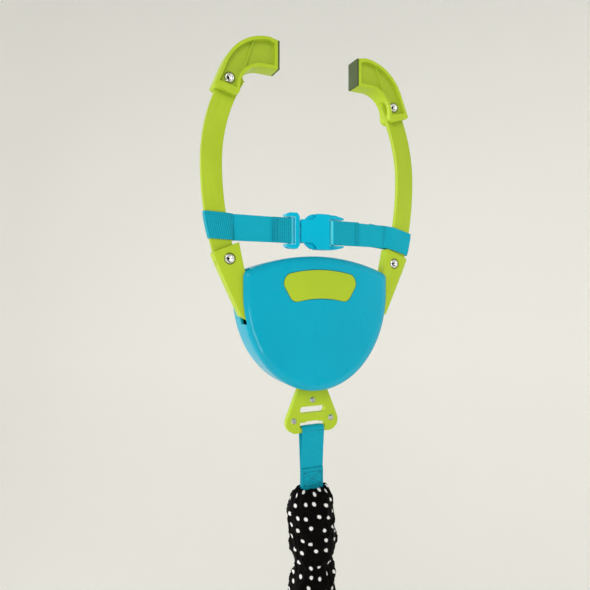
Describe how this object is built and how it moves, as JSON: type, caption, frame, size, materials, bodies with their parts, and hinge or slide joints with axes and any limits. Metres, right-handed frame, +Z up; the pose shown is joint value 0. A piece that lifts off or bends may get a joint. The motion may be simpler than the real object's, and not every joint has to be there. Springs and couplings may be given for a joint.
{
  "type": "doorway jumper seat",
  "caption": "Baby bouncer seat that hangs from a door header by a sprung lever clamp, with a coil spring in a gathered sleeve and a padded seat with leg openings.",
  "frame": {"origin": "midway between the two jaws of the clamp, 8.5 mm below the middle of their faces, level with the top of the door trim", "axes": "+Z up, X across the door header from jaw to jaw, Y along the wall; the badge faces -Y"},
  "size_m": [0.296, 0.23, 1.4586],
  "materials": {
    "housing_plastic": "satin",
    "lime_plastic": "satin",
    "arm_coating": "satin",
    "foot_rubber": "matte",
    "steel": "satin",
    "webbing": "matte",
    "buckle_plastic": "satin",
    "dotted_cloth": "matte",
    "seat_cloth": "matte",
    "cuff_cloth": "matte"
  },
  "bodies": {
    "housing": {"back_cover": "housing_plastic", "front_cover": "housing_plastic", "badge_plate": "lime_plastic", "cover_screws": "steel", "pivot_pins": "steel", "return_spring": "steel"},
    "left_clamp": {"left_lever": "lime_plastic", "left_arm": "arm_coating", "left_jaw": "lime_plastic", "left_foot": "foot_rubber", "left_lever_rivet": "steel", "left_jaw_rivet": "steel", "left_strap": "webbing", "buckle_male": "buckle_plastic"},
    "right_clamp": {"right_lever": "lime_plastic", "right_arm": "arm_coating", "right_jaw": "lime_plastic", "right_foot": "foot_rubber", "right_lever_rivet": "steel", "right_jaw_rivet": "steel", "right_strap": "webbing", "buckle_female": "buckle_plastic"},
    "latch_upper": {"buckle_latch_upper": "buckle_plastic"},
    "latch_lower": {"buckle_latch_lower": "buckle_plastic"},
    "hanger": {"hanger_plate_front": "arm_coating", "hanger_plate_back": "arm_coating", "hanger_rivets": "steel", "hanger_pin": "steel", "spring_seat": "steel"},
    "drop": {"drop_strap": "webbing", "spring_link": "steel", "main_spring": "steel", "spring_sleeve": "dotted_cloth"},
    "swivel": {"swivel_eye": "steel", "swivel_washer": "steel"},
    "seat": {"spreader": "lime_plastic", "seat_strap_front_left": "webbing", "seat_strap_front_right": "webbing", "seat_strap_back_left": "webbing", "seat_strap_back_right": "webbing", "strap_adjusters": "lime_plastic", "waist_band": "dotted_cloth", "seat_bucket": "seat_cloth", "leg_cuff_left": "cuff_cloth", "leg_cuff_right": "cuff_cloth"}
  },
  "joints": [
    {"name": "left_arm_swing", "type": "hinge", "parent": "housing", "child": "left_clamp", "pos_m": [-0.061, 0, -0.257], "axis": [0, -1, 0], "range_deg": [0, 10], "stiffness_Nm_per_rad": 6, "springref_deg": -14.32},
    {"name": "right_arm_swing", "type": "hinge", "parent": "housing", "child": "right_clamp", "pos_m": [0.061, 0, -0.257], "axis": [0, 1, 0], "range_deg": [0, 10]},
    {"name": "hanger_slide", "type": "slide", "parent": "housing", "child": "hanger", "axis": [0, 0, 1], "range_m": [0, 0.011], "deforming": ["return_spring"]},
    {"name": "latch_upper_squeeze", "type": "hinge", "parent": "left_clamp", "child": "latch_upper", "pos_m": [-0.0205, -0.0095, -0.1508], "axis": [0, 1, 0], "range_deg": [0, 7], "stiffness_Nm_per_rad": 0.5},
    {"name": "latch_lower_squeeze", "type": "hinge", "parent": "left_clamp", "child": "latch_lower", "pos_m": [-0.0205, -0.0095, -0.1672], "axis": [0, -1, 0], "range_deg": [0, 7], "stiffness_Nm_per_rad": 0.5},
    {"name": "strap_swing", "type": "hinge", "parent": "hanger", "child": "drop", "pos_m": [0, 0, -0.361], "axis": [1, 0, 0], "range_deg": [-25, 25]},
    {"name": "spring_bounce", "type": "slide", "parent": "drop", "child": "swivel", "axis": [0, 0, -1], "range_m": [0, 0.15], "stiffness_N_per_m": 600, "springref_m": -0.07, "deforming": ["main_spring", "spring_sleeve"]},
    {"name": "seat_swivel", "type": "hinge", "parent": "swivel", "child": "seat", "pos_m": [0, 0, -0.72], "axis": [0, 0, 1], "continuous": true}
  ],
  "couplings": [
    {"joint": "right_arm_swing", "follows": "left_arm_swing", "ratio": 1},
    {"joint": "hanger_slide", "follows": "left_arm_swing", "m_per_rad": 0.061},
    {"joint": "latch_lower_squeeze", "follows": "latch_upper_squeeze", "ratio": 1}
  ]
}
